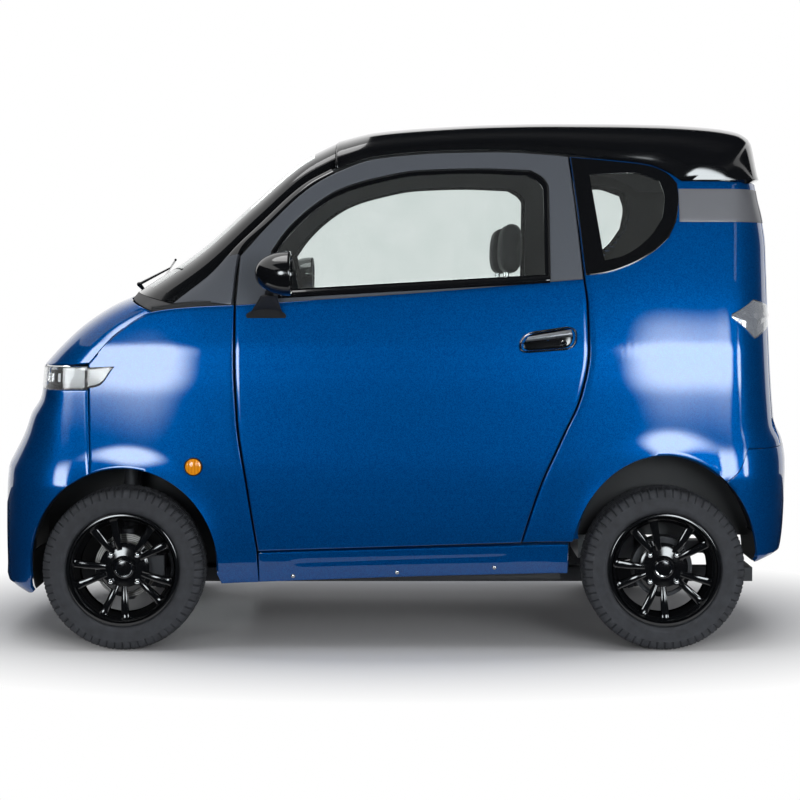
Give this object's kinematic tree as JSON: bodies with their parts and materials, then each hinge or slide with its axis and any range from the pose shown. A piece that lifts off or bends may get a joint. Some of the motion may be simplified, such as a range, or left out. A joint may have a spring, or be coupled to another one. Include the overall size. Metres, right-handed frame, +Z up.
{
  "type": "enclosed mobility scooter",
  "caption": "Closed cabin mobility scooter on road wheels with hinged doors, lifting tailgate, steered front wheels, bonded quarter windows and a black roof cap.",
  "frame": {"origin": "on the ground under the middle of the vehicle", "axes": "+X towards the rear, +Y towards the vehicle's right side, +Z up"},
  "size_m": [2.5767, 1.584, 1.682],
  "materials": {
    "body_paint": "gloss metallic blue",
    "gloss_black": "gloss black",
    "glass": "clear, lightly tinted",
    "lamp_lens": "clear moulded lens",
    "amber_lens": "amber lens",
    "black_plastic": "grained black",
    "chassis_steel": "satin black",
    "motor_case": "cast",
    "seat_cover": "woven black",
    "brake_iron": "turned",
    "tyre_rubber": "matte",
    "rim_black": "gloss black"
  },
  "bodies": {
    "root": {"rail_left": "chassis_steel", "rail_right": "chassis_steel", "crossbars": "chassis_steel", "floor_pan": "chassis_steel", "load_floor": "chassis_steel", "dash_panel": "chassis_steel", "front_bumper": "body_paint", "hood": "body_paint", "fender_left": "body_paint", "fender_right": "body_paint", "headlamps": "lamp_lens", "repeaters": "amber_lens", "cowl": "gloss_black", "windscreen": "glass", "pillars": "gloss_black", "wiper": "black_plastic", "roof": "gloss_black", "quarter_left": "body_paint", "quarter_right": "body_paint", "quarter_glass": "glass", "sills": "body_paint", "rear_bumper": "body_paint", "tail_lamps": "lamp_lens", "arch_liners": "black_plastic", "aprons": "black_plastic", "front_suspension": "chassis_steel", "rear_axle": "chassis_steel", "motor": "motor_case", "battery": "chassis_steel", "seats": "seat_cover", "dashboard": "black_plastic"},
    "left_door": {"door_left": "body_paint", "door_glass_left": "glass", "mirror_left": "gloss_black", "handle_left": "gloss_black"},
    "right_door": {"door_right": "body_paint", "door_glass_right": "glass", "mirror_right": "gloss_black", "handle_right": "gloss_black"},
    "rear_gate": {"tailgate": "body_paint", "tailgate_glass": "glass"},
    "left_knuckle": {"knuckle_left": "chassis_steel"},
    "right_knuckle": {"knuckle_right": "chassis_steel"},
    "wheel_fl": {"tyre_fl": "tyre_rubber", "rim_fl": "rim_black", "disc_left": "brake_iron"},
    "wheel_fr": {"tyre_fr": "tyre_rubber", "rim_fr": "rim_black", "disc_right": "brake_iron"},
    "wheel_rl": {"tyre_rl": "tyre_rubber", "rim_rl": "rim_black"},
    "wheel_rr": {"tyre_rr": "tyre_rubber", "rim_rr": "rim_black"},
    "hand_wheel": {"steering_wheel": "black_plastic"}
  },
  "joints": [
    {"name": "steer_left", "type": "hinge", "parent": "root", "child": "left_knuckle", "pos_m": [-0.85, -0.49, 0.254], "axis": [0, 0, 1], "range_deg": [-33, 33]},
    {"name": "steer_right", "type": "hinge", "parent": "root", "child": "right_knuckle", "pos_m": [-0.85, 0.49, 0.254], "axis": [0, 0, 1], "range_deg": [-33, 33]},
    {"name": "steering_wheel_turn", "type": "hinge", "parent": "root", "child": "hand_wheel", "pos_m": [-0.19, -0.265, 0.965], "axis": [0.8829, 0, 0.4695], "range_deg": [-400, 400]},
    {"name": "spin_fl", "type": "hinge", "parent": "left_knuckle", "child": "wheel_fl", "pos_m": [-0.85, -0.55, 0.254], "axis": [0, -1, 0], "continuous": true},
    {"name": "spin_fr", "type": "hinge", "parent": "right_knuckle", "child": "wheel_fr", "pos_m": [-0.85, 0.55, 0.254], "axis": [0, -1, 0], "continuous": true},
    {"name": "spin_rl", "type": "hinge", "parent": "root", "child": "wheel_rl", "pos_m": [0.842, -0.55, 0.254], "axis": [0, -1, 0], "continuous": true},
    {"name": "spin_rr", "type": "hinge", "parent": "root", "child": "wheel_rr", "pos_m": [0.842, 0.55, 0.254], "axis": [0, -1, 0], "continuous": true},
    {"name": "door_left_hinge", "type": "hinge", "parent": "root", "child": "left_door", "pos_m": [-0.472, -0.642, 0.7], "axis": [0, 0, -1], "range_deg": [0, 65]},
    {"name": "door_right_hinge", "type": "hinge", "parent": "root", "child": "right_door", "pos_m": [-0.472, 0.642, 0.7], "axis": [0, 0, 1], "range_deg": [0, 65]},
    {"name": "tailgate_hinge", "type": "hinge", "parent": "root", "child": "rear_gate", "pos_m": [1.204, 0, 1.472], "axis": [0, -1, 0], "range_deg": [0, 80]}
  ],
  "couplings": [
    {"joint": "steer_right", "follows": "steer_left", "ratio": 1},
    {"joint": "steering_wheel_turn", "follows": "steer_left", "ratio": 12}
  ]
}
